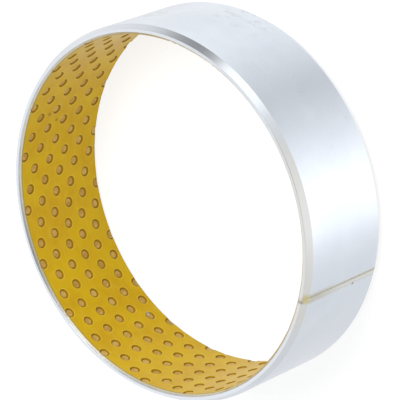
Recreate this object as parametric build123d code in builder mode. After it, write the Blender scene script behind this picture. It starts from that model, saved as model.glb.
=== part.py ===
from build123d import *
from math import degrees, floor, pi, radians, sqrt, tan
import os

# A lined wrapped bush: a strip of steel that carries a sintered bronze layer and an acetal
# running layer is rolled into a ring, acetal inwards, and its two ends meet in a butt joint.
# The axis is Z, the lower end face lies on z = 0, and the joint faces -Y. Millimetres.

# Wall, from the bore outwards
bore_diameter = 95.0
lining_wall = 0.35
bronze_wall = 0.25
steel_wall = 1.9
bush_length = 30.0

# End chamfers: a long lead-in outside, at this angle to the axis, and a 45 degree one inside
outer_chamfer_length = 1.8
outer_chamfer_angle = 28.0
inner_chamfer = 0.7

# Butt joint, with the strip's outer edges broken
joint_gap = 0.3
joint_bevel_width = 0.35
joint_bevel_depth = 0.3

# Grease pockets, pressed into the lining; only a film of acetal is left over the bronze.
# They are round on the real bush, and square here, because there are hundreds of them.
pocket_diameter = 2.7
pocket_film = 0.05
pocket_pitch = 14.9
row_pitch = 1.94
row_shift = 5.38
first_row = 1.78
first_pocket = 10.1

# How far a cutting tool runs past what it cuts
tool_overrun = 1.0

bore_radius = bore_diameter / 2
bronze_inner_radius = bore_radius + lining_wall
steel_inner_radius = bronze_inner_radius + bronze_wall
outer_radius = steel_inner_radius + steel_wall
outer_chamfer_depth = outer_chamfer_length * tan(radians(outer_chamfer_angle))
pocket_depth = lining_wall - pocket_film

# The square that takes up as much of the lining as one round pocket
pocket_side = pocket_diameter * sqrt(pi) / 2

# The pocket rows close on themselves round the bore, each one turned on from the row above it
pockets_per_row = round(2 * pi * bore_radius / pocket_pitch)
pocket_rows = 1 + floor((bush_length - first_row) / row_pitch)
pocket_spacing = 360 / pockets_per_row

# The half plane at the joint, where each layer's revolve starts and ends
joint_angle = -90.0
joint_plane = Plane(origin=(0, 0, 0), x_dir=(0, -1, 0), z_dir=(-1, 0, 0))


def arc_angle(length):
    """The angle that an arc of this length takes up round the bore."""
    return degrees(length / bore_radius)


def pocket_places():
    """A turn about the axis and a height for every pocket, row by row from the top face."""
    places = []
    for row in range(pocket_rows):
        height = bush_length - first_row - row * row_pitch
        row_start = joint_angle - arc_angle(first_pocket + row * row_shift)
        for pocket in range(pockets_per_row):
            turn = row_start - pocket * pocket_spacing
            places.append(Location((0, 0, height), (0, 0, turn)))
    return places


def layer_section(inner_radius, wall):
    """One layer in section: its share of the whole wall, which is chamfered at all four corners."""
    with BuildSketch(joint_plane) as section:
        with BuildLine():
            Polyline(
                (bore_radius, inner_chamfer),
                (bore_radius + inner_chamfer, 0),
                (outer_radius - outer_chamfer_depth, 0),
                (outer_radius, outer_chamfer_length),
                (outer_radius, bush_length - outer_chamfer_length),
                (outer_radius - outer_chamfer_depth, bush_length),
                (bore_radius + inner_chamfer, bush_length),
                (bore_radius, bush_length - inner_chamfer),
                close=True,
            )
        make_face()
        with Locations((inner_radius + wall / 2, bush_length / 2)):
            Rectangle(wall, bush_length, mode=Mode.INTERSECT)
    return section.sketch


# The gap between the strip's ends, opening into a shallow V at the outside
with BuildPart() as joint_cutter:
    with BuildSketch(Plane.XY.offset(-tool_overrun)):
        with BuildLine():
            Polyline(
                (joint_gap / 2, tool_overrun - bore_radius),
                (joint_gap / 2, joint_bevel_depth - outer_radius),
                (joint_gap / 2 + joint_bevel_width, -outer_radius),
                (joint_gap / 2 + joint_bevel_width, -outer_radius - tool_overrun),
                (-joint_gap / 2 - joint_bevel_width, -outer_radius - tool_overrun),
                (-joint_gap / 2 - joint_bevel_width, -outer_radius),
                (-joint_gap / 2, joint_bevel_depth - outer_radius),
                (-joint_gap / 2, tool_overrun - bore_radius),
                close=True,
            )
        make_face()
    extrude(amount=bush_length + 2 * tool_overrun)

# One pocket's tool, pointing out along +X into the lining, with two sides along the bush
with BuildPart() as pocket_cutter:
    with BuildSketch(Plane.YZ.offset(bore_radius - tool_overrun)):
        Rectangle(pocket_side, pocket_side)
    extrude(amount=tool_overrun + pocket_depth)

# Steel backing, which is pressed into the housing
with BuildPart() as steel_backing:
    revolve(layer_section(steel_inner_radius, steel_wall), axis=Axis.Z)
    add(joint_cutter.part, mode=Mode.SUBTRACT)

# Porous bronze, sintered to the steel, which keys the lining and shows through the pockets' film
with BuildPart() as bronze_interlayer:
    revolve(layer_section(bronze_inner_radius, bronze_wall), axis=Axis.Z)
    add(joint_cutter.part, mode=Mode.SUBTRACT)

# Acetal running layer with its grease pockets, cut through where they meet an end or the joint
with BuildPart() as acetal_lining:
    revolve(layer_section(bore_radius, lining_wall), axis=Axis.Z)
    with Locations(pocket_places()):
        add(pocket_cutter.part, mode=Mode.SUBTRACT)
    add(joint_cutter.part, mode=Mode.SUBTRACT)

os.makedirs("parts", exist_ok=True)

steel_backing.part.label = "steel_backing"
bronze_interlayer.part.label = "bronze_interlayer"
acetal_lining.part.label = "acetal_lining"

export_step(steel_backing.part, "parts/steel_backing.step")
export_step(bronze_interlayer.part, "parts/bronze_interlayer.step")
export_step(acetal_lining.part, "parts/acetal_lining.step")
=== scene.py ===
# %% [markdown]
# # A lined wrapped bush
#
# This lesson finishes a plain bearing: a thin steel ring, rolled from strip and closed with a butt
# joint, whose bore is lined with golden acetal over a layer of porous bronze. A shaft turns in
# it, and the pockets pressed into the lining hold the grease.
#
# The sizes come from a packed model of the three layers. That model is exact but coarse: its
# curves are flats and its pockets are square. Here each layer is made again in the same place,
# with round curves and round pockets, and then gets the finish of its real material.

# %% Load the packed model
import math

import bpy
import numpy as np
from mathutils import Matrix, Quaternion, Vector, kdtree
from mathutils.geometry import delaunay_2d_cdt


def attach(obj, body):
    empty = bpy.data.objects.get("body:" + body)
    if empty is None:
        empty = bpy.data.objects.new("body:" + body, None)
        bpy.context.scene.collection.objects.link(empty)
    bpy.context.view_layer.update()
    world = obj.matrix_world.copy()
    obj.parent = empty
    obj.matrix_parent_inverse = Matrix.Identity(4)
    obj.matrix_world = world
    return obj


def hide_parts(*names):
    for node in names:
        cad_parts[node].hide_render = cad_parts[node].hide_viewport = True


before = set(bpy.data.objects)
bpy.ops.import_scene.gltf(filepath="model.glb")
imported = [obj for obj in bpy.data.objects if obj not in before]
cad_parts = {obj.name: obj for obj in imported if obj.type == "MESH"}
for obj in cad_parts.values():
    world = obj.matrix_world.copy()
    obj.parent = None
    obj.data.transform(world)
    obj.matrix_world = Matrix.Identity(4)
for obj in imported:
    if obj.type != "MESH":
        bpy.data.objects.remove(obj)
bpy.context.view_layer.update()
print("nodes:", sorted(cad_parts))

# %% [markdown]
# ## The bush's own sizes
#
# Blender works in metres here, so every size is written in millimetres and multiplied by MM.
# They are the sizes that the packed model was made from, except at the joint. There the packed
# model keeps a gap of 0.3 mm, so that the two ends are clearly apart. On the real bush they almost
# touch, so the joint is drawn nearly closed here, with wider broken edges, and is just as
# wide at the outside. A size that follows from others, such as the outside radius, is worked
# out and never written twice.

# %% Sizes of the wall
MM = 0.001
bore_radius = 47.5 * MM
lining_wall = 0.35 * MM
bronze_wall = 0.25 * MM
steel_wall = 1.9 * MM
bush_length = 30.0 * MM
outer_chamfer_length = 1.8 * MM
outer_chamfer_angle = math.radians(28.0)
inner_chamfer = 0.7 * MM

bronze_inner_radius = bore_radius + lining_wall
steel_inner_radius = bronze_inner_radius + bronze_wall
outer_radius = steel_inner_radius + steel_wall
outer_chamfer_depth = outer_chamfer_length * math.tan(outer_chamfer_angle)
print("outside diameter in mm:", round(2 * outer_radius / MM, 3))

# %% Sizes of the joint and the pockets
joint_angle = math.radians(-90.0)
joint_gap = 0.05 * MM
joint_bevel_width = 0.475 * MM
joint_bevel_depth = 0.3 * MM
row_pitch = 1.94 * MM
row_shift = 5.38 * MM
first_row = 1.78 * MM
first_pocket = 10.1 * MM
pocket_rows = 15
pockets_per_row = 20

bore_girth = 2 * math.pi * bore_radius
pocket_pitch = bore_girth / pockets_per_row
print("pockets:", pocket_rows * pockets_per_row, "at a pitch in mm of", round(pocket_pitch / MM, 3))

# %% [markdown]
# ## The camera
#
# A long lens from most of a metre away keeps the ring's two ends nearly the same size. The ring
# stands on its end, which is how it rests, and the camera is rolled over until the ring seems
# to stand on its edge. A camera looks along its own -Z, so its +Z is turned to point back from
# the target, and a turn about that same axis is the roll.

# %% Place the camera
view_azimuth = math.radians(40.940)
view_elevation = math.radians(45.862)
view_roll = math.radians(111.580)
view_distance = 717.88 * MM
view_target = Vector((0.705, -1.176, 13.689)) * MM
lens_length = 249.59

camera_back = Vector((
    math.sin(view_azimuth) * math.cos(view_elevation),
    -math.cos(view_azimuth) * math.cos(view_elevation),
    math.sin(view_elevation),
))
camera = bpy.data.objects.new("camera", bpy.data.cameras.new("camera"))
camera.data.lens = lens_length
camera.data.clip_start = 0.01
camera.location = view_target + camera_back * view_distance
camera.rotation_mode = "QUATERNION"
camera.rotation_quaternion = camera_back.to_track_quat("Z", "Y") @ Quaternion((0, 0, 1), -view_roll)
bpy.context.scene.collection.objects.link(camera)
bpy.context.scene.camera = camera
bpy.context.scene.view_settings.view_transform = "Standard"
print("camera at", [round(value, 4) for value in camera.location])

# %% [markdown]
# ## Shader maths as plain expressions
#
# A material is a graph of nodes, and a graph built call by call is hard to read. A Wire stands
# for one socket of that graph. Adding or multiplying wires adds the Math nodes that do it, so a
# mask reads like the formula it is. Every other kind of node comes from one method, node(),
# which takes the node's type, its settings, and what goes into its sockets.

# %% A socket that can be calculated with
class Wire:
    """One socket of a node tree; expressions on wires add the nodes that work them out."""

    def __init__(self, tree, socket=None):
        self.tree = tree
        self.socket = socket

    def node(self, kind, settings=None, inputs=None, output=0):
        """Adds a node, fills in its settings and sockets, and returns its output as a wire."""
        made = self.tree.nodes.new(kind)
        for name, value in (settings or {}).items():
            if name == "stops":
                ramp = made.color_ramp.elements
                while len(ramp) < len(value):
                    ramp.new(1.0)
                for stop, (place, colour) in zip(ramp, value):
                    stop.position, stop.color = place, colour
            else:
                setattr(made, name, value)
        for name, value in (inputs or {}).items():
            if isinstance(value, Wire):
                self.tree.links.new(value.socket, made.inputs[name])
            else:
                made.inputs[name].default_value = value
        return None if output is None else Wire(self.tree, made.outputs[output])

    def math(self, operation, *values):
        """A Math node with these values on its sockets, in order."""
        return self.node("ShaderNodeMath", {"operation": operation}, dict(enumerate(values)))

    def __add__(self, other):
        return self.math("ADD", self, other)

    def __sub__(self, other):
        return self.math("SUBTRACT", self, other)

    def __rsub__(self, other):
        return self.math("SUBTRACT", other, self)

    def __mul__(self, other):
        return self.math("MULTIPLY", self, other)

    def __truediv__(self, other):
        return self.math("DIVIDE", self, other)

    def __rtruediv__(self, other):
        return self.math("DIVIDE", other, self)

    __radd__ = __add__
    __rmul__ = __mul__

    def rise(self, low, high):
        """0 below low, 1 above high and a soft step between; with low above high it falls."""
        return self.node(
            "ShaderNodeMapRange",
            {"interpolation_type": "SMOOTHSTEP"},
            {"Value": self, "From Min": low, "From Max": high},
        )

    def or_more(self, other):
        """The larger of the two."""
        return self.math("MAXIMUM", self, other)

    def __abs__(self):
        return self.math("ABSOLUTE", self)

    def between(self, first, second):
        """A number: first where this wire is 0, second where it is 1."""
        return first + self * (second - first)

    def blend(self, colour, other):
        """From colour, where this wire is 0, to other, where it is 1."""
        # a Mix node has sockets for other kinds of value too: 6 and 7 take colours, 2 gives one
        return self.node(
            "ShaderNodeMix", {"data_type": "RGBA"}, {0: self, 6: colour, 7: other}, output=2
        )


def rgb(red, green, blue):
    """A colour socket's value from linear red, green and blue."""
    return (red, green, blue, 1.0)


def grey(level):
    """A colour socket's value with the same red, green and blue."""
    return rgb(level, level, level)


print("Wire has", len([name for name in vars(Wire) if not name.startswith("_")]), "named methods")

# %% [markdown]
# ## Floor, world and lamps
#
# The bush stands on a plain white table that is lit from below as well as from above, as in a
# light tent. Only the camera sees the table: it takes the shadow, and it gives off some light of
# its own, which lifts it to white. Every other ray passes through it into the tent.
#
# Plated steel shows what is around it, so what makes it look like metal is not its own colour but
# the bright and dark sides of the tent. They could be real panels, but a ring shows them squeezed
# into narrow bands, and panels are slow to place by eye. Here the world itself is painted with
# brightness by direction, and only rays that left a shiny surface see the painting. Colour
# ramps run once round the compass: one for what lies above the bush, which its end face and its
# inner chamfer show, one for what lies level with it, which its outer chamfer shows, and one
# for what lies below, which its upright wall shows.

# %% A floor that keeps the shadow
floor_size = 6.0
floor_albedo = 0.26
floor_lift = 0.75


def make_floor():
    """A wide flat square under the bush that only the camera sees."""
    half = floor_size / 2
    mesh = bpy.data.meshes.new("floor")
    corners = [(-half, -half, 0), (half, -half, 0), (half, half, 0), (-half, half, 0)]
    mesh.from_pydata(corners, [], [(0, 1, 2, 3)])
    floor = bpy.data.objects.new("floor", mesh)
    bpy.context.scene.collection.objects.link(floor)
    material = bpy.data.materials.new("pale_floor")
    material.use_nodes = True
    material.node_tree.nodes.clear()
    bench = Wire(material.node_tree)
    camera_ray = bench.node("ShaderNodeLightPath")
    paint = bench.node("ShaderNodeBsdfDiffuse", inputs={"Color": grey(floor_albedo)})
    lift = bench.node("ShaderNodeEmission", inputs={"Strength": floor_lift})
    lit = bench.node("ShaderNodeAddShader", inputs={0: paint, 1: lift})
    clear = bench.node("ShaderNodeBsdfTransparent")
    shown = bench.node("ShaderNodeMixShader", inputs={0: camera_ray, 1: clear, 2: lit})
    bench.node("ShaderNodeOutputMaterial", inputs={"Surface": shown}, output=None)
    mesh.materials.append(material)
    return floor


print("floor:", make_floor().name)

# %% The tent that shiny surfaces see
# Each stop is an azimuth in degrees, anticlockwise from +X, and a brightness.
low_ring = [
    (-176, 0.76), (-156, 0.80), (-135, 0.81), (-116, 0.845), (-104, 0.96), (-94, 1.28), (-70, 1.42),
    (-51, 1.07), (-30, 0.84), (-9, 0.635), (12, 0.825), (33, 0.97), (54, 1.00), (95, 0.965),
    (115, 0.87), (143, 0.95), (164, 0.81),
]
level_ring = [
    (-176, 0.78), (-150, 0.76), (-119, 0.80), (-104, 0.83), (-85, 1.02), (-68, 1.00), (-51, 0.92),
    (-33, 0.80), (-22, 0.82), (-15, 1.30), (9, 1.35), (15, 0.54), (26, 0.30), (38, 0.41),
    (52, 0.79), (66, 0.89), (120, 0.92),
]
high_ring = [
    (-138, 0.90), (-123, 0.85), (-104, 0.74), (-93, 0.68), (-82, 0.52), (-71, 0.42), (-59, 0.16),
    (-47, 0.10), (-35, 0.20), (-24, 0.62), (-12, 1.10), (-1, 1.80), (10, 1.85), (19, 1.40),
    (28, 0.90), (37, 0.68), (63, 0.70), (100, 1.00), (150, 1.00),
]
# How much of the high ring's brightness is kept in its lower, middle and upper parts.
high_factors = (0.93, 1.17, 0.86)
below_level = 1.05
ambient_strength = 0.68

# Where one part of the tent turns into the next, as the direction's height from -1 to 1.
below_to_low = (-0.93, -0.84)
low_to_level = (-0.46, -0.30)
level_to_high = (0.26, 0.42)
lower_to_middle = (0.60, 0.66)
middle_to_upper = (0.675, 0.735)
print("stops in the low, level and high ring:", len(low_ring), len(level_ring), len(high_ring))

# %% Paint the world with it
def compass_ramp(bench, turn, stops):
    """The brightness of the stops once round the compass; turn is 0 to 1 from -180 degrees."""
    placed = sorted(((azimuth + 180) / 360, level) for azimuth, level in stops)
    placed = [(0.0, placed[-1][1]), *placed]
    most = max(level for place, level in placed)
    shades = [(place, grey(level / most)) for place, level in placed]
    return bench.node("ShaderNodeValToRGB", {"stops": shades}, {0: turn}) * most


def make_world():
    """White to the camera, the painted tent to shiny surfaces, and even light for all else."""
    world = bpy.data.worlds.new("studio")
    bpy.context.scene.world = world
    world.use_nodes = True
    world.node_tree.nodes.clear()
    bench = Wire(world.node_tree)
    direction = bench.node("ShaderNodeTexCoord", output="Generated")
    across, along, height = [
        bench.node("ShaderNodeSeparateXYZ", inputs={0: direction}, output=axis) for axis in "XYZ"
    ]
    turn = bench.math("ARCTAN2", along, across) / (2 * math.pi) + 0.5
    level = compass_ramp(bench, turn, level_ring)
    low = compass_ramp(bench, turn, low_ring)
    tent = height.rise(*low_to_level).between(low, level)
    tent = height.rise(*below_to_low).between(below_level, tent)
    high = compass_ramp(bench, turn, high_ring)
    lower, middle, upper = high_factors
    factor = height.rise(*middle_to_upper).between(middle, upper)
    high = high * height.rise(*lower_to_middle).between(lower, factor)
    tent = height.rise(*level_to_high).between(tent, high)
    camera_ray = bench.node("ShaderNodeLightPath")
    glossy_ray = bench.node("ShaderNodeLightPath", output="Is Glossy Ray")
    strength = bench.math("MAXIMUM", camera_ray, glossy_ray.between(ambient_strength, tent))
    light = bench.node("ShaderNodeBackground", inputs={"Color": grey(1.0), "Strength": strength})
    bench.node("ShaderNodeOutputWorld", inputs={"Surface": light}, output=None)
    return world


print("world:", make_world().name)

# %% Lamps
lamps = [
    # name, azimuth, elevation, distance, size, power in watts
    ("key", 20.0, 62.0, 0.9, 0.6, 8.0),
    ("fill", -110.0, 35.0, 1.0, 0.8, 3.0),
]


def make_lamp(name, azimuth, elevation, distance, size, power):
    """A square softbox that points at the middle of the bush."""
    turn, tilt = math.radians(azimuth), math.radians(elevation)
    flat = Vector((math.cos(turn), math.sin(turn), 0))
    outward = flat * math.cos(tilt) + Vector((0, 0, math.sin(tilt)))
    lamp = bpy.data.objects.new(name, bpy.data.lights.new(name, "AREA"))
    lamp.data.size = size
    lamp.data.energy = power
    lamp.location = outward * distance + Vector((0, 0, bush_length / 2))
    lamp.rotation_mode = "QUATERNION"
    lamp.rotation_quaternion = outward.to_track_quat("Z", "Y")
    lamp.visible_glossy = False
    bpy.context.scene.collection.objects.link(lamp)
    return lamp


print("lamps:", [make_lamp(*lamp).name for lamp in lamps])

# %% [markdown]
# ## The steel backing and the bronze
#
# A turned ring is one section carried round an axis. Blender's Screw modifier would do that,
# but this ring is rolled from strip: it has two ends, which face each other across a narrow gap,
# and their outer edges are broken. So the section is carried round by a loop, from one face of
# the joint to the other, and the stations next to the joint are squeezed to form the break.

# %% Stations round the ring
ring_stations = 540


def around(radius, angle, height):
    """A point at this radius, angle and height."""
    return Vector((radius * math.cos(angle), radius * math.sin(angle), height))


def station_angles(radius, setback):
    """Angles for a section point at this radius, with the joint's faces parallel to each other."""
    first = joint_angle + math.asin(joint_gap / 2 / radius)
    second = joint_angle + math.asin((joint_gap / 2 + setback) / radius)
    last = 2 * joint_angle + 2 * math.pi - first
    before_last = 2 * joint_angle + 2 * math.pi - second
    return [first, *np.linspace(second, before_last, ring_stations), last]


outside_stations = station_angles(outer_radius, joint_bevel_width)
print("stations:", len(outside_stations), "from", round(outside_stations[0], 4), "rad")

# %% Carry a section round the ring
def split_from(start, corners):
    """A four-sided face as two triangles that meet along the diagonal from start."""
    at = corners.index(start)
    first, second, third, fourth = corners[at:] + corners[:at]
    return [(first, second, third), (first, third, fourth)]


def sweep_ring(name, section, end_section, rounded=()):
    """One layer of the ring. The corners of the section listed in rounded get a bevel weight."""
    stations = ring_stations + 2
    count = len(section)
    angles = [station_angles(radius, joint_bevel_width) for radius, height in section]
    vertices = []
    for station in range(stations):
        points = end_section if station in (0, stations - 1) else section
        for index, (radius, height) in enumerate(points):
            vertices.append(around(radius, angles[index][station], height))
    faces = [tuple(range(count)), tuple(reversed(range((stations - 1) * count, stations * count)))]
    for station in range(stations - 1):
        near, far = station * count, (station + 1) * count
        for index in range(count):
            after = (index + 1) % count
            corners = (near + index, far + index, far + after, near + after)
            if station in (0, stations - 2) and (section[index] != end_section[index]) != (
                section[after] != end_section[after]
            ):
                kept = index if section[index] == end_section[index] else after
                faces.extend(split_from((near if station == 0 else far) + kept, corners))
            else:
                faces.append(corners)
    mesh = bpy.data.meshes.new(name)
    mesh.from_pydata(vertices, [], faces)
    weights = mesh.attributes.new("bevel_weight_edge", "FLOAT", "EDGE")
    for edge in mesh.edges:
        first, second = sorted(edge.vertices)
        at_joint = first < count or second >= (stations - 1) * count
        along_ring = second - first == count and first % count in rounded
        weights.data[edge.index].value = float(along_ring and not at_joint)
    return mesh


print("a face at the joint is split into:", split_from(1, (0, 1, 2, 3)))

# %% The two sections
def mirrored(section):
    """The lower half of a section, followed by its copy at the upper end."""
    return section + [(radius, bush_length - height) for radius, height in reversed(section)]


break_radius = outer_radius - joint_bevel_depth
break_height = outer_chamfer_length - joint_bevel_depth / math.tan(outer_chamfer_angle)
steel_section = mirrored([
    (steel_inner_radius, bore_radius + inner_chamfer - steel_inner_radius),
    (bore_radius + inner_chamfer, 0.0),
    (outer_radius - outer_chamfer_depth, 0.0),
    (break_radius, break_height),
    (outer_radius, outer_chamfer_length),
])
steel_end_section = [(min(radius, break_radius), height) for radius, height in steel_section]
bronze_section = mirrored([
    (bronze_inner_radius, bore_radius + inner_chamfer - bronze_inner_radius),
    (steel_inner_radius, bore_radius + inner_chamfer - steel_inner_radius),
])
print("steel section in mm:", [(round(r / MM, 3), round(z / MM, 3)) for r, z in steel_section])

# %% [markdown]
# ## The lining and its pockets
#
# The pockets are pressed into flat strip before it is rolled, and each has a flat floor, a
# steep wall and a faint lip where the plastic was pushed aside. The tool leans a little as it
# leaves, so the wall is steeper towards one end of the bush than towards the other.
#
# A displaced grid would need millions of faces to keep the rims round. So the lining is laid out
# flat, as the strip was: each pocket is a nest of circles, and a constrained triangulation fills
# the rest of the strip. The whole sheet is then rolled up, and each point is sunk as deep as the
# pocket is there.

# %% Where the pockets are on the flat strip
pocket_profile = [
    # distance from the pocket's centre and depth, in millimetres; the lip is above the surface
    (0.00, 0.290),
    (0.45, 0.298),
    (0.86, 0.300),
    (1.04, 0.260),
    (1.26, 0.110),
    (1.43, 0.012),
    (1.52, -0.018),
    (1.62, -0.015),
    (1.78, 0.000),
]
lip_radius = pocket_profile[-1][0] * MM


def pocket_centres():
    """Every pocket's centre: its way round from the joint, clockwise from above, and its height."""
    centres = []
    for row in range(pocket_rows):
        height = bush_length - first_row - row * row_pitch
        for pocket in range(pockets_per_row):
            along = first_pocket + row * row_shift + pocket * pocket_pitch
            centres.append((along % bore_girth, height))
    return centres


def with_wrapped(centres):
    """The same centres, and copies of those near the joint moved on by a whole girth."""
    last = bore_girth - lip_radius
    before_start = [(along - bore_girth, height) for along, height in centres if along > last]
    after_end = [(along + bore_girth, height) for along, height in centres if along < lip_radius]
    return centres + before_start + after_end


centres = with_wrapped(pocket_centres())
pocket_tree = kdtree.KDTree(len(centres))
for number, (along, height) in enumerate(centres):
    pocket_tree.insert((along, height, 0), number)
pocket_tree.balance()
print("pocket centres, with the wrapped ones:", len(centres))

# %% How deep and how far over a pocket is
# How far a pocket's floor is moved towards the upper end, and the part of its wall that leans.
floor_lean = 0.14 * MM
lean_from, lean_to = 0.86, 1.43
strip_start = joint_gap / 2
strip_end = bore_girth - joint_gap / 2


def pocket_depth_at(along, height):
    """How far the surface lies below the running surface, from the nearest pocket's profile."""
    distance = pocket_tree.find((along, height, 0))[2]
    return float(np.interp(distance / MM, *zip(*pocket_profile))) * MM


def lean_at(along, height):
    """How far a point moves towards the upper end; a pocket that is cut through stays as it is."""
    centre, number, distance = pocket_tree.find((along, height, 0))
    room = min(centre.y - inner_chamfer, bush_length - inner_chamfer - centre.y)
    room = min(room, centre.x - strip_start, strip_end - centre.x)
    if room < lip_radius:
        return 0.0
    return floor_lean * float(np.interp(distance / MM, (lean_from, lean_to), (1.0, 0.0)))


print("pocket depth in mm at a centre:", round(pocket_depth_at(*centres[0]) / MM, 3))

# %% What the chamfers and the joint leave of the strip
circle_points = 24
strip_low = bore_radius + inner_chamfer - bronze_inner_radius
strip_high = bush_length - strip_low
tolerance = 1e-7


def chamfer_depth_at(height):
    """How deep the end chamfers cut at this height; negative between them."""
    return inner_chamfer - min(height, bush_length - height)


def on_strip(at, depth):
    """Whether a point this far below the running surface is still on the lining."""
    along, height = at
    between_ends = strip_start - tolerance < along < strip_end + tolerance
    return between_ends and chamfer_depth_at(height) < depth + tolerance


def circle_on_strip(centre, radius, depth):
    """A circle's points in order, with None where the joint or a chamfer has cut it away."""
    along, height = centre
    crossings = []
    for limit in (inner_chamfer - depth, bush_length - inner_chamfer + depth):
        if abs(limit - height) < radius:
            turn = math.asin((limit - height) / radius)
            crossings += [turn, math.pi - turn]
    for limit in (strip_start, strip_end):
        if abs(limit - along) < radius:
            turn = math.acos((limit - along) / radius)
            crossings += [turn, -turn]
    full_turn = 2 * math.pi
    crossings = [turn % full_turn for turn in crossings]
    step = full_turn / circle_points
    regular = [number * step for number in range(circle_points)]
    regular = [turn for turn in regular if all(abs(turn - other) > step / 3 for other in crossings)]
    turns = sorted(regular + crossings)
    points = [(along + radius * math.cos(turn), height + radius * math.sin(turn)) for turn in turns]
    return [at if on_strip(at, depth) else None for at in points]


print("the strip's edges in mm:", round(strip_low / MM, 3), round(strip_high / MM, 3))

# %% Lay the lining out flat
fill_spacing = 1.5 * MM
# How far outside a pocket's lip the points on a crease and the points of the filling stay.
crease_clearance = 0.1 * MM
fill_clearance = 0.3 * fill_spacing


def clear_of_pockets(at, margin):
    """Whether a point lies further than the margin outside every pocket's lip."""
    return pocket_tree.find((at[0], at[1], 0))[2] > lip_radius + margin


def flat_lining():
    """The strip's points and the edges that its triangles have to keep."""
    points, edges = [], []
    creases = {False: [], True: []}
    ends = {False: [], True: []}

    def add(at, depth):
        """Adds a point, and notes whether it lies on a crease or on an end of the strip."""
        number = len(points)
        points.append(at)
        if abs(chamfer_depth_at(at[1]) - depth) < tolerance:
            creases[at[1] > bush_length / 2].append(number)
        if min(at[0] - strip_start, strip_end - at[0]) < tolerance:
            ends[at[0] > bore_girth / 2].append(number)
        return number

    for centre in centres:
        if on_strip(centre, pocket_profile[0][1] * MM):
            add(centre, pocket_profile[0][1] * MM)
        for distance, depth in pocket_profile[1:]:
            circle = circle_on_strip(centre, distance * MM, depth * MM)
            numbers = [None if at is None else add(at, depth * MM) for at in circle]
            edges += [pair for pair in zip(numbers, numbers[1:] + numbers[:1]) if None not in pair]

    along_values = np.linspace(strip_start, strip_end, 1 + round(bore_girth / fill_spacing))
    for along in along_values:
        for height in (strip_low, strip_high):
            add((along, height), lining_wall)
        for height in (inner_chamfer, bush_length - inner_chamfer):
            if clear_of_pockets((along, height), crease_clearance):
                add((along, height), 0.0)
    lowest = inner_chamfer + fill_spacing
    highest = bush_length - inner_chamfer - fill_spacing / 2
    for number, height in enumerate(np.arange(lowest, highest, fill_spacing)):
        offset = fill_spacing / 2 if number % 2 else 0.0
        for along in np.append(along_values[:-1] + offset, strip_end):
            if clear_of_pockets((along, height), fill_clearance):
                add((max(along, strip_start), height), 0.0)
    for side in (False, True):
        creases[side].sort(key=lambda number: points[number][0])
        ends[side].sort(key=lambda number: points[number][1])
        edges += list(zip(creases[side], creases[side][1:]))
        edges += list(zip(ends[side], ends[side][1:]))
    return points, edges


flat_points, flat_edges = flat_lining()
print("flat lining:", len(flat_points), "points,", len(flat_edges), "kept edges")

# %% Roll the lining up
def roll_lining(name):
    """Triangulates the strip, sinks its pockets and rolls it into a closed layer."""
    spots, kept, triangles = delaunay_2d_cdt(flat_points, flat_edges, [], 0, tolerance, False)[:3]
    spots = [tuple(spot) for spot in spots]
    vertices, depths = [], []
    for along, height in spots:
        pocket = pocket_depth_at(along, height)
        sunk = max(pocket, chamfer_depth_at(height))
        leaned = height + lean_at(along, height)
        vertices.append(around(bore_radius + sunk, joint_angle - along / bore_radius, leaned))
        depths.append(pocket / MM)
    faces = [tuple(triangle) for triangle in triangles]

    def border(axis, value):
        """The numbers of the points on one side of the strip, in order."""
        near = 10 * tolerance
        found = [number for number, spot in enumerate(spots) if abs(spot[axis] - value) < near]
        return sorted(found, key=lambda number: spots[number][1 - axis])

    low, high = border(1, strip_low), border(1, strip_high)
    for first in range(len(low) - 1):
        faces.append((low[first], high[first], high[first + 1], low[first + 1]))
    faces.append(tuple(border(0, strip_start)))
    faces.append(tuple(reversed(border(0, strip_end))))
    mesh = bpy.data.meshes.new(name)
    mesh.from_pydata(vertices, [], faces)
    pocket_layer = mesh.attributes.new("pocket_depth", "FLOAT", "POINT")
    pocket_layer.data.foreach_set("value", depths)
    return mesh


lining_mesh = roll_lining("acetal_lining_mesh")
print("lining:", len(lining_mesh.vertices), "points,", len(lining_mesh.polygons), "faces")

# %% [markdown]
# ## Finishes
#
# All three finishes are placed by where a point is on the ring: its height, its radius, and how
# far round it is from the joint. Those follow from the object's own coordinates, so the marks
# stay on the ring however it is turned, and no unwrapped texture is needed.

# %% A new material
def new_material(name):
    """A material with a Principled shader, and a Wire in its tree to start from."""
    material = bpy.data.materials.new(name)
    material.use_nodes = True
    tree = material.node_tree
    return material, Wire(tree), tree.nodes["Principled BSDF"]


def set_shader(shader, **values):
    """Sets the shader's sockets: a number or colour is typed in, a wire is linked."""
    for name, value in values.items():
        socket = shader.inputs[name.replace("_", " ").title().replace("Ior", "IOR")]
        if isinstance(value, Wire):
            value.tree.links.new(value.socket, socket)
        else:
            socket.default_value = value


print("helpers:", new_material.__name__, set_shader.__name__)

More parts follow.
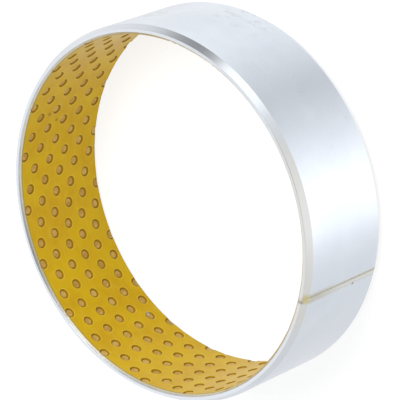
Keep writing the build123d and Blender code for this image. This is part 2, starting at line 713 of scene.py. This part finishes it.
# %% Places on the ring
class Places:
    """Where a shaded point is on the ring, in millimetres."""

    def __init__(self, bench):
        self.point = bench.node("ShaderNodeTexCoord", output="Object")
        parts = {0: self.point}
        x, y, z = [bench.node("ShaderNodeSeparateXYZ", inputs=parts, output=axis) for axis in "XYZ"]
        self.height = z / MM
        self.radius = bench.math("SQRT", x * x + y * y) / MM
        # anticlockwise from the joint, which faces -Y, measured round the outside
        self.along = bench.math("ARCTAN2", x, y * -1.0) * (outer_radius / MM)
        self.bench = bench

    def stretched(self, across, up):
        """The point with its sides and its height scaled, for marks that are long one way."""
        scales = (across, across, up)
        return self.bench.node(
            "ShaderNodeVectorMath", {"operation": "MULTIPLY"}, {0: self.point, 1: scales}
        )

    def noise(self, size, detail=3.0, rough=0.55, across=1.0, up=1.0):
        """Cloudy values from 0 to 1 with features of about this many millimetres."""
        return self.bench.node(
            "ShaderNodeTexNoise",
            inputs={
                "Vector": self.stretched(across, up),
                "Scale": 1.0 / (size * MM),
                "Detail": detail,
                "Roughness": rough,
            },
        )

    def spots(self, size, radius, share):
        """Round spots: one to a cell of this size, kept in a share of the cells."""
        cells = {"Vector": self.point, "Scale": 1.0 / (size * MM)}
        distance = self.bench.node("ShaderNodeTexVoronoi", inputs=cells, output="Distance")
        lot = self.bench.node("ShaderNodeTexVoronoi", inputs=cells, output="Color")
        lot = self.bench.node("ShaderNodeSeparateColor", inputs={0: lot}, output="Red")
        return distance.rise(radius / size, 0.6 * radius / size) * lot.rise(share, share - 0.01)

    def near(self, along, height, reach, fade):
        """1 within reach of a place on the outside, falling to 0 over fade, in millimetres."""
        aside, above = self.along - along, self.height - height
        distance = self.bench.math("SQRT", aside * aside + above * above)
        return distance.rise(reach + fade, reach)


def bumped(bench, height, distance, normal=None):
    """A normal that follows a height; distance is how deep a height of 1 is, in millimetres."""
    inputs = {"Height": height, "Distance": distance * MM}
    if normal is not None:
        inputs["Normal"] = normal
    return bench.node("ShaderNodeBump", inputs=inputs)


print("noise with features of 2 mm needs a scale of", 1.0 / (2.0 * MM))

# %% [markdown]
# ## Tin-plated steel
#
# The outside is cold-rolled steel with a thin coat of tin: bright, a little blue, and only
# nearly smooth, because rolling leaves faint lines along the strip. The ends were turned, so they
# are less blue and carry fine rings, with a film of oil that yellows a part of them. At the joint
# the strip was sheared, which bared some dull raw steel, and oil has left a tan stain that is
# strongest at the upper chamfer. Handling has left two faint rubbed patches on the outside.
#
# A picture of scratches could be wrapped round the ring, but noise that is stretched along the
# strip gives the same lines at any size. The lines and clouds are kept weak, since on a metal
# even a slope of half a degree shows. The stain is a sum of a few soft shapes, broken up by noise.

# %% The colours of the plating and the turned ends
tin_light = rgb(0.81, 0.86, 0.93)
tin_dull = rgb(0.755, 0.805, 0.88)
turned_steel = rgb(0.76, 0.79, 0.83)
oiled_steel = rgb(0.79, 0.785, 0.755)
sheared_steel = rgb(0.50, 0.505, 0.48)
scuffed_tin = rgb(0.50, 0.53, 0.55)
smudged_tin = rgb(0.58, 0.61, 0.63)
rubbed_tin = rgb(0.45, 0.43, 0.38)
speck_grey = rgb(0.30, 0.30, 0.29)

# Marks on the plating: how far along and how high they are, their reach, and their fade.
rubbed_place = (100.3, 16.5, 1.5, 3.5)
smudged_place = (80.0, 6.0, 3.0, 10.0)
print("the plating goes from", tin_light, "to", tin_dull)

# %% The stain at the joint
stain_on_plate = rgb(0.68, 0.66, 0.57)
upper_stain_on_plate = rgb(0.57, 0.55, 0.46)
stain_on_steel = rgb(0.52, 0.51, 0.43)
upper_stain_on_steel = rgb(0.46, 0.45, 0.38)
blot_yellow = rgb(0.58, 0.53, 0.31)
dirt_brown = rgb(0.16, 0.13, 0.07)

# Marks at the joint, given as those on the plating are.
blot_place = (-0.10, 29.0, 0.7, 1.5)
end_dirt_place = (-1.0, 30.0, 0.25, 0.5)
side_dirt_place = (-1.25, 10.3, 0.2, 0.45)

# The stain's two lines run beside the joint, this far along.
edge_line = 0.32
lower_line = -1.02


def joint_stain(at):
    """How strong the stain is, how far up the joint, and how strong its blot and its dirt are."""
    broken = at.noise(1.6, 4.0, 0.6)
    upper = at.height.rise(11.0, 26.0)
    edge = (at.along - edge_line).rise(0.80, 0.10) * (at.along - edge_line).rise(-0.78, -0.45)
    edge = edge * upper.between(1.0, 0.75)
    lower = (at.along - lower_line).rise(0.48, 0.08) * (at.along - lower_line).rise(-0.48, -0.08)
    film = at.along.rise(1.6, 0.7) * at.along.rise(-2.0, -1.0) * upper
    blot = at.near(*blot_place) * at.height.rise(29.98, 29.88)
    amount = (edge * broken.between(0.55, 1.05)).or_more(film * broken.between(0.55, 1.0))
    amount = amount.or_more(lower * broken.between(0.35, 1.0)) * at.height.rise(29.97, 29.8)
    amount = amount.or_more(blot)
    dirt = (at.near(*end_dirt_place) * 0.50).or_more(at.near(*side_dirt_place) * 0.55)
    return amount, upper, blot, dirt


print("the stain's two lines run this far along in mm:", edge_line, lower_line)

# %% The plated steel
def plated_steel():
    """Tin plate outside, turned steel at the ends, and the stained joint."""
    material, bench, shader = new_material("tin_plated_steel")
    at = Places(bench)
    clouds = at.noise(22.0, 4.0, 0.6)
    drawn = at.noise(9.0, 3.0, 0.6, up=16.0)
    grain = at.noise(0.8, 2.0)
    scuffs = at.noise(7.0, 5.0, 0.7, up=2.5).rise(0.60, 0.74) * at.noise(26.0, 1.0).rise(0.50, 0.66)
    cut = at.radius.rise(49.985, 49.93)
    rings = bench.node(
        "ShaderNodeTexNoise",
        {"noise_dimensions": "2D"},
        {
            "Vector": bench.node("ShaderNodeCombineXYZ", inputs={0: at.radius, 1: at.height}),
            "Scale": 9.0,
            "Detail": 3.0,
        },
    )
    specks = at.spots(9.0, 0.30, 0.10)
    rubbed = at.near(*rubbed_place) * at.noise(1.6, 4.0, 0.65).rise(0.46, 0.64)
    smudged = at.near(*smudged_place) * at.noise(3.2, 4.0, 0.6, up=1.5).rise(0.47, 0.64)
    stained, upper, blot, dirt = joint_stain(at)

    plate = clouds.rise(0.35, 0.70).blend(tin_light, tin_dull)
    turned = (rings * 0.5 + clouds * 0.5).rise(0.3, 0.7).blend(turned_steel, tin_light)
    colour = cut.blend(plate, turned)
    oiled = at.along.rise(-16.0, -5.0) * at.along.rise(50.0, 34.0) * cut * clouds.between(0.6, 1.0)
    colour = oiled.blend(colour, oiled_steel)
    colour = (scuffs * 0.30).blend(colour, scuffed_tin)
    colour = (smudged * 0.40).blend(colour, smudged_tin)
    colour = (rubbed * 0.55).blend(colour, rubbed_tin)
    colour = (specks * (1.0 - cut)).blend(colour, speck_grey)
    sheared = at.along.rise(0.08, -0.04) * at.along.rise(-0.53, -0.47) * at.height.rise(28.7, 28.1)
    colour = sheared.blend(colour, sheared_steel)
    stain = sheared.blend(
        upper.blend(stain_on_plate, upper_stain_on_plate),
        upper.blend(stain_on_steel, upper_stain_on_steel),
    )
    stain = blot.blend(stain, blot_yellow)
    colour = stained.blend(colour, stain)
    colour = dirt.blend(colour, dirt_brown)
    rough = cut.between(0.21, 0.17) + clouds * 0.06 + drawn * 0.04 + scuffs * 0.12 + stained * 0.15
    lines = cut.between(drawn * 0.7 + grain * 0.3, rings)
    set_shader(
        shader,
        base_color=colour,
        metallic=1.0 - stained * 0.45,
        roughness=rough,
        normal=bumped(bench, lines, 0.006),
    )
    return material


steel_finish = plated_steel()
print(steel_finish.name, "has", len(steel_finish.node_tree.nodes), "nodes")

# %% [markdown]
# ## Porous bronze
#
# Between steel and plastic lies a layer of bronze balls a tenth of a millimetre across, sintered
# together. Only its edge shows, in the inner chamfer, and the tool that cut the chamfer dragged
# tin and steel over it, so it is paler than bare bronze and nearly as shiny as the steel beside
# it. It could be left as one plain colour at that width, but it is where the metal turns into
# plastic: Voronoi cells give each ball its own shade, and a bump rounds it.

# %% The bronze
bronze_ball = 0.14
bronze_dark = rgb(0.58, 0.55, 0.46)
bronze_light = rgb(0.76, 0.73, 0.64)
bronze_tarnish = rgb(0.44, 0.42, 0.35)


def porous_bronze():
    """Sintered balls, each of its own shade, under a film of dragged metal."""
    material, bench, shader = new_material("sintered_bronze")
    at = Places(bench)
    cells = {"Vector": at.point, "Scale": 1.0 / (bronze_ball * MM)}
    distance = bench.node("ShaderNodeTexVoronoi", inputs=cells, output="Distance")
    shade = bench.node("ShaderNodeTexVoronoi", inputs=cells, output="Color")
    shade = bench.node("ShaderNodeSeparateColor", inputs={0: shade}, output="Red")
    tarnish = at.noise(5.0, 3.0).rise(0.4, 0.65)
    colour = shade.blend(bronze_dark, bronze_light)
    colour = (tarnish * 0.35).blend(colour, bronze_tarnish)
    set_shader(
        shader,
        base_color=colour,
        metallic=0.9,
        roughness=0.30 + tarnish * 0.15,
        normal=bumped(bench, 1.0 - distance, 0.02),
    )
    return material


bronze_finish = porous_bronze()
print(bronze_finish.name, "has", len(bronze_finish.node_tree.nodes), "nodes")

# %% [markdown]
# ## Golden acetal
#
# The running layer is acetal with a golden pigment, a dense and slightly waxy plastic. The
# pockets are pressed hard: on their floors the bronze shows tan through a thin film. Their walls
# are darkened to brown as painted shade, and their lips are lightened as a painted highlight.
# Towards the ends the gold turns olive. The chamfer is smeared with metal that the tool dragged
# in from the layers behind, and next to the running surface it is darkened olive as painted
# shade. A few brown crumbs and a pale one are left from pressing.
#
# Each mesh point knows how deep its pocket is, so the colours follow that number through a few
# soft steps. A painted map would need an unwrapped lining, and would blur at the pockets' rims.

# %% The colours of the lining
gold_deep = rgb(0.565, 0.345, 0.0002)
gold_light = rgb(0.630, 0.425, 0.0008)
gold_mottle = rgb(0.640, 0.400, 0.006)
gold_worn = rgb(0.66, 0.49, 0.07)
# pale gold painted highlight for the raised pocket lips
lip_painted_highlight = rgb(0.69, 0.53, 0.09)
olive_edge = rgb(0.31, 0.25, 0.03)
# dark brown painted shade for the pocket walls, standing in for the shade in the recess
wall_painted_shade = rgb(0.270, 0.145, 0.0004)
floor_dark = rgb(0.47, 0.28, 0.055)
floor_light = rgb(0.62, 0.41, 0.12)
crumb_brown = rgb(0.26, 0.13, 0.01)
crumb_pale = rgb(0.68, 0.66, 0.58)
# dark olive painted shade for the part of the chamfer next to the running surface
chamfer_painted_shade = rgb(0.32, 0.245, 0.055)
dragged_metal = rgb(0.66, 0.64, 0.56)

# How far from the bush's middle the bands at its ends begin and are full.
olive_band = (13.95, 14.25)
chamfer_band = (14.24, 14.30)
drag_band = (14.34, 14.58)

brown_crumb_places = [(150.5, 21.1, 0.2, 0.6), (153.3, 17.6, 0.2, 0.6)]
pale_crumb_place = (-95.2, 5.0, 0.2, 0.7)
print("the lining goes from", gold_deep, "to", gold_light)

# %% The lining
def golden_acetal():
    """The lining's gold, pockets with painted shade and highlights, olive edges, and metal-smeared
    chamfers with painted shade.
    """
    material, bench, shader = new_material("golden_acetal")
    at = Places(bench)
    depth = bench.node("ShaderNodeAttribute", {"attribute_name": "pocket_depth"}, output="Fac")
    clouds = at.noise(9.0, 4.0, 0.6)
    mottle = at.noise(2.2, 3.0, 0.6)
    grain = at.noise(0.35, 2.0)
    wear = at.noise(6.0, 4.0, 0.65, up=5.0)
    wall = depth.rise(0.010, 0.07)
    floor = depth.rise(0.262, 0.298)
    lip = depth.rise(-0.004, -0.018)
    from_middle = abs(at.height - 0.5 * bush_length / MM)
    edge = from_middle.rise(*olive_band)
    chamfer = from_middle.rise(*chamfer_band)
    drag = from_middle.rise(*drag_band)
    first_crumb, second_crumb = [at.near(*place) for place in brown_crumb_places]

    gold = clouds.rise(0.30, 0.70).blend(gold_deep, gold_light)
    gold = (mottle.rise(0.35, 0.75) * 0.45).blend(gold, gold_mottle)
    gold = (wear.rise(0.52, 0.68) * 0.22).blend(gold, gold_worn)
    # painted highlight: the pocket lips are lightened
    gold = (lip * 0.55).blend(gold, lip_painted_highlight)
    gold = (edge * 0.85).blend(gold, olive_edge)
    # painted shade: the pocket walls are darkened to brown
    colour = wall.blend(gold, wall_painted_shade)
    colour = floor.blend(colour, mottle.rise(0.35, 0.65).blend(floor_dark, floor_light))
    colour = (first_crumb.or_more(second_crumb) * 0.7).blend(colour, crumb_brown)
    colour = (at.near(*pale_crumb_place) * 0.6).blend(colour, crumb_pale)
    # the chamfer goes from painted shade next to the running surface to dragged metal at the end
    colour = chamfer.blend(colour, drag.blend(chamfer_painted_shade, dragged_metal))
    set_shader(
        shader,
        base_color=colour,
        metallic=chamfer * drag * 0.75,
        roughness=0.26 + clouds * 0.08 + wall * 0.20,
        specular_ior_level=0.14,
        sheen_weight=0.20,
        sheen_roughness=0.25,
        sheen_tint=rgb(1.0, 0.93, 0.78),
        normal=bumped(bench, mottle * 0.6 + grain * 0.4, 0.012),
    )
    return material


acetal_finish = golden_acetal()
print(acetal_finish.name, "has", len(acetal_finish.node_tree.nodes), "nodes")

# %% [markdown]
# ## Put the layers in the scene
#
# Each layer takes the place of its packed node and rides on the same body. The steel also gets a
# narrow bevel along its ring edges, because no turned edge is truly sharp and a sharp one would
# catch no light. The bevel goes by weight, so the joint's own edges stay as they were made.

# %% Put a layer in the place of its packed node
sharp_angle = math.radians(30.0)


def show_layer(name, mesh, node, material):
    """Puts a layer's mesh in the scene in place of the packed node, with its material."""
    mesh.materials.append(material)
    mesh.shade_smooth()
    mesh.set_sharp_from_angle(angle=sharp_angle)
    layer = bpy.data.objects.new(name, mesh)
    bpy.context.scene.collection.objects.link(layer)
    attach(layer, "root")
    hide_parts(node)
    print(name, "has", len(mesh.polygons), "faces")
    return layer


print("edges are kept sharp from", round(math.degrees(sharp_angle)), "degrees")

# %% Show the three layers
turned_edge = 0.08 * MM
steel = show_layer(
    "steel_ring",
    sweep_ring("steel_ring_mesh", steel_section, steel_end_section, rounded=(1, 2, 4, 5, 7, 8)),
    "steel_backing",
    steel_finish,
)
bevel = steel.modifiers.new("broken_edges", "BEVEL")
bevel.limit_method = "WEIGHT"
bevel.width = turned_edge
bevel.segments = 2
bevel.harden_normals = True

show_layer(
    "bronze_layer",
    sweep_ring("bronze_layer_mesh", bronze_section, bronze_section),
    "bronze_interlayer",
    bronze_finish,
)
show_layer("lining", lining_mesh, "acetal_lining", acetal_finish)
